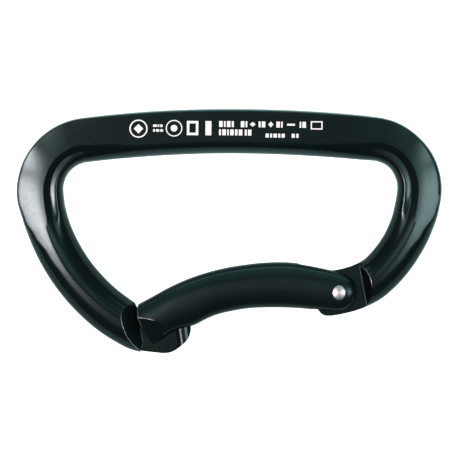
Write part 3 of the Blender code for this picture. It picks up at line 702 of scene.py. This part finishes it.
class Nodes:
    """A short way to write a material's node tree. Its colours are (red, green, blue)."""

    def __init__(self, name):
        self.material = bpy.data.materials.new(name)
        self.material.use_nodes = True
        self.tree = self.material.node_tree
        self.shader = self.tree.nodes["Principled BSDF"]

    def add(self, kind, values=None, links=None, **settings):
        """A node with its settings, its inputs' values and the outputs linked to them."""
        node = self.tree.nodes.new(kind)
        for key, value in settings.items():
            setattr(node, key, value)
        for key, value in (values or {}).items():
            node.inputs[key].default_value = value
        for key, source in (links or {}).items():
            self.tree.links.new(source, node.inputs[key])
        return node

    def link(self, source, socket):
        """Link an output to an input of the shader."""
        self.tree.links.new(source, self.shader.inputs[socket])

    def math(self, operation, a, b, clamp=False):
        """The result of an operation on two numbers or outputs."""
        values = {i: v for i, v in enumerate((a, b)) if isinstance(v, (int, float))}
        links = {i: v for i, v in enumerate((a, b)) if not isinstance(v, (int, float))}
        return self.add("ShaderNodeMath", values, links, operation=operation,
                        use_clamp=clamp).outputs[0]

    def noise(self, scale, detail, roughness=0.5):
        """A noise value from 0 to 1 that stays with the object."""
        return self.add("ShaderNodeTexNoise", {"Scale": scale, "Detail": detail,
                                               "Roughness": roughness},
                        {"Vector": self.place()}).outputs["Fac"]

    def place(self):
        """The place on the object, in metres."""
        return self.add("ShaderNodeTexCoord").outputs["Object"]

    def remap(self, value, low, high, to_low, to_high):
        """Map low..high to to_low..to_high and clamp what lies outside."""
        return self.add("ShaderNodeMapRange", {1: low, 2: high, 3: to_low, 4: to_high},
                        {0: value}).outputs[0]

    def mix(self, factor, a, b):
        """Blend from a to b, each of which is a colour or an output."""
        node = self.add("ShaderNodeMix", links={0: factor}, data_type='RGBA')
        for socket, value in ((node.inputs[6], a), (node.inputs[7], b)):
            if isinstance(value, tuple):
                socket.default_value = (*value, 1.0)
            else:
                self.tree.links.new(value, socket)
        return node.outputs[2]

    def near(self, spots):
        """1 near any of the spots, each (centre in mm, radius in mm), fading to 0."""
        total = None
        for centre, radius in spots:
            apart = self.add("ShaderNodeVectorMath", {1: tuple(c * MM for c in centre)},
                             {0: self.place()}, operation='DISTANCE').outputs["Value"]
            value = self.remap(apart, 0.6 * radius * MM, radius * MM, 1.0, 0.0)
            total = self.math('MAXIMUM', total, value) if total else value
        return total

    def edge_wear_and_glint(self, radius, low, high):
        """The softened normal, and a value near 1 on narrow bands along real edges."""
        soft = self.add("ShaderNodeBevel", {"Radius": radius}, samples=10).outputs[0]
        true = self.add("ShaderNodeNewGeometry").outputs["True Normal"]
        dot = self.add("ShaderNodeVectorMath", links={0: soft, 1: true},
                       operation='DOT_PRODUCT').outputs["Value"]
        return soft, self.remap(dot, high, low, 0.0, 1.0)


def shade(colour, factor):
    """A darker or lighter tone of a colour."""
    return tuple(factor * c for c in colour)


def anodised(name, colour, roughness, wear_and_glint_places):
    """Satin black anodising over a blasted surface, bright along a few milled edges from wear
    and a painted glint.
    """
    m = Nodes(name)
    grain = m.noise(7500, 2.0, 0.55)
    blast = m.noise(3600, 2.0, 0.55)
    cloud = m.noise(60, 3.0, 0.5)
    soft, edge = m.edge_wear_and_glint(EDGE_BAND, 0.93, 0.995)
    near = m.near(wear_and_glint_places)
    # edges near the chosen places turn to bare metal: partly wear, partly a painted glint
    wear_and_glint = m.math('MULTIPLY', edge, near, clamp=True)
    base = m.mix(m.remap(cloud, 0.35, 0.65, 0.0, 1.0), shade(colour, 0.90),
                 shade(colour, 1.10))
    base = m.mix(m.remap(grain, 0.52, 0.72, 0.0, 0.4), base, shade(colour, 1.7))
    base = m.mix(wear_and_glint, base, WORN_GLINT_METAL)
    m.link(base, "Base Color")
    rough = m.math('ADD', m.remap(blast, 0.3, 0.7, roughness - 0.03, roughness + 0.04),
                   m.math('MULTIPLY', wear_and_glint, 0.25))
    m.link(rough, "Roughness")
    plain = m.add("ShaderNodeNewGeometry").outputs["Normal"]
    normal = m.add("ShaderNodeMix", links={0: near, 4: plain, 5: soft}, data_type='VECTOR')
    bump = m.add("ShaderNodeBump", {"Strength": 0.03, "Distance": 0.00004},
                 {"Height": m.math('ADD', grain, blast), "Normal": normal.outputs[1]})
    m.link(bump.outputs[0], "Normal")
    m.shader.inputs["Metallic"].default_value = 0.80
    m.shader.inputs["Specular Tint"].default_value = GRAZING_TINT
    return m.material


def bright_steel(name, tone, roughness, grain_scale):
    """Bare steel with fine tool marks and shallow dents."""
    m = Nodes(name)
    noise = m.noise(grain_scale, 4.0, 0.6)
    dents = m.noise(900, 1.0, 0.4)
    m.link(m.mix(noise, shade(tone, 0.86), tone), "Base Color")
    m.link(m.remap(noise, 0.3, 0.7, roughness * 0.85, roughness * 1.15), "Roughness")
    bump = m.add("ShaderNodeBump", {"Strength": 0.15, "Distance": 0.00005},
                 {"Height": m.math('ADD', noise, m.math('MULTIPLY', dents, 2.0))})
    m.link(bump.outputs[0], "Normal")
    m.shader.inputs["Metallic"].default_value = 1.0
    return m.material


def laser_white(name):
    """The pale frosted surface that a marking laser leaves, slightly uneven."""
    m = Nodes(name)
    speck = m.noise(3800, 2.0, 0.6)
    m.link(m.mix(m.remap(speck, 0.35, 0.7, 0.0, 1.0), (0.90, 0.93, 0.93),
                 (0.69, 0.72, 0.72)), "Base Color")
    m.link(m.remap(speck, 0.3, 0.7, 0.55, 0.8), "Roughness")
    return m.material


# ---------------------------------------------------------------- stage (metres, watts)
FLOOR_HALF, FLOOR_GAP = 1.4, 0.0003       # the gap keeps the floor clear of the part's back
AIM = 0.03                                # the panels on each side point at that side's bend
# name, place, aim along X, size, power, colour
LIGHTS = [
    ("panel_left", (-0.26, -0.02, 0.60), -AIM, (0.14, 0.09), 4.0, (1.0, 0.65, 0.67)),
    ("panel_left_soft", (-0.24, 0.10, 0.60), -AIM, (0.30, 0.30), 0.36, (0.62, 1.0, 1.0)),
    ("panel_right", (0.28, -0.01, 0.60), AIM, (0.17, 0.13), 1.2, (1.0, 0.93, 0.91)),
    ("panel_right_soft", (0.24, 0.10, 0.60), AIM, (0.30, 0.30), 0.30, (0.62, 1.0, 1.0)),
    ("panel_spine", (0.0, 0.70, 0.65), 0.0, (0.9, 0.45), 1.1, (0.58, 1.0, 0.95)),
    ("panel_low", (0.0, 1.0, 0.28), 0.0, (1.3, 0.36), 3.6, (0.67, 1.0, 0.97)),
]
WORLD_COLOUR, WORLD_STRENGTH = (0.27, 1.0, 0.93, 1), 0.15
CAMERA_DISTANCE, VIEW_WIDTH = 1.2, 0.1165     # the width that is seen at the mid-plane
VIEW_CENTRE = (0.00002, 0.00043)


def build_stage():
    """A pale floor that glows where it is seen from above, and dims at low angles."""
    corners = [(x / MM, y / MM, 0) for x, y in (
        (-FLOOR_HALF, -FLOOR_HALF), (FLOOR_HALF, -FLOOR_HALF),
        (FLOOR_HALF, FLOOR_HALF), (-FLOOR_HALF, FLOOR_HALF))]
    floor = make_object("floor", corners, [(0, 1, 2, 3)], smooth=False)
    floor.location.z = -FLOOR_GAP
    m = Nodes("pale_floor")
    m.link(m.mix(m.noise(9, 3.0), (0.88, 0.93, 0.93), (0.91, 0.96, 0.96)), "Base Color")
    m.shader.inputs["Roughness"].default_value = 0.9
    m.shader.inputs["Emission Color"].default_value = (1, 1, 1, 1)
    facing = m.add("ShaderNodeLayerWeight", {"Blend": 0.5}).outputs["Facing"]
    m.link(m.remap(facing, 0.06, 0.55, 0.93, 0.15), "Emission Strength")
    floor.data.materials.append(m.material)


def area_light(name, place, aim_x, size, power, colour):
    """A rectangular light that points at a place on the X axis."""
    data = bpy.data.lights.new(name, 'AREA')
    data.shape = 'RECTANGLE'
    data.size, data.size_y = size
    data.energy = power
    data.color = colour
    light = bpy.data.objects.new(name, data)
    light.location = place
    aim = Vector((aim_x, 0, 0)) - Vector(place)
    light.rotation_euler = aim.to_track_quat('-Z', 'Y').to_euler()
    bpy.context.scene.collection.objects.link(light)


def build_light():
    """A small and a soft panel at each side, two beyond the spine, and a dim green world."""
    for light in LIGHTS:
        area_light(*light)
    world = bpy.data.worlds.new("studio")
    world.use_nodes = True
    background = world.node_tree.nodes["Background"]
    background.inputs["Color"].default_value = WORLD_COLOUR
    background.inputs["Strength"].default_value = WORLD_STRENGTH
    bpy.context.scene.world = world


def build_camera():
    """A distant camera straight above the front face."""
    data = bpy.data.cameras.new("camera")
    data.sensor_fit = 'HORIZONTAL'
    data.angle = 2 * math.atan(VIEW_WIDTH / 2 / CAMERA_DISTANCE)
    data.clip_start, data.clip_end = 0.01, 10.0
    camera = bpy.data.objects.new("camera", data)
    camera.location = (*VIEW_CENTRE, MID_Z * MM + CAMERA_DISTANCE)
    bpy.context.scene.collection.objects.link(camera)
    bpy.context.scene.camera = camera


# ---------------------------------------------------------------- put together
def dress(piece, material, body, node=None):
    """Give a piece its material and body, and hide the CAD node that it replaces."""
    piece.data.materials.clear()
    piece.data.materials.append(material)
    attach(piece, body)
    if node:
        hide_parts(node)


def main():
    """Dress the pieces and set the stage."""
    black = anodised("anodised_forging", FORGING_BLACK, 0.22, FRAME_WEAR_AND_GLINT)
    black_gate = anodised("anodised_gate_bar", GATE_BLACK, 0.27, GATE_WEAR_AND_GLINT)
    rivet_steel = bright_steel("peened_steel", (0.36, 0.375, 0.380), 0.38, 1500)
    plunger_steel = bright_steel("turned_steel", (0.60, 0.60, 0.61), 0.30, 2200)
    wire_steel = bright_steel("spring_steel", (0.52, 0.52, 0.54), 0.34, 3000)

    dress(finish_mesh(build_frame(), FRAME_CREASE), black, "frame_body",
          "frame")
    dress(finish_mesh(build_gate()), black_gate, "gate_body", "gate")
    dress(finish_mesh(build_rivet()), rivet_steel, "gate_body", "hinge_rivet")
    dress(finish_mesh(build_spring()), wire_steel, "gate_body", "gate_spring")
    dress(finish_mesh(build_plunger()), plunger_steel, "plunger_body",
          "spring_plunger")
    dress(build_marks(), laser_white("laser_marks"), "frame_body")

    build_stage()
    build_light()
    build_camera()
    bpy.context.scene.view_settings.view_transform = 'Standard'


main()
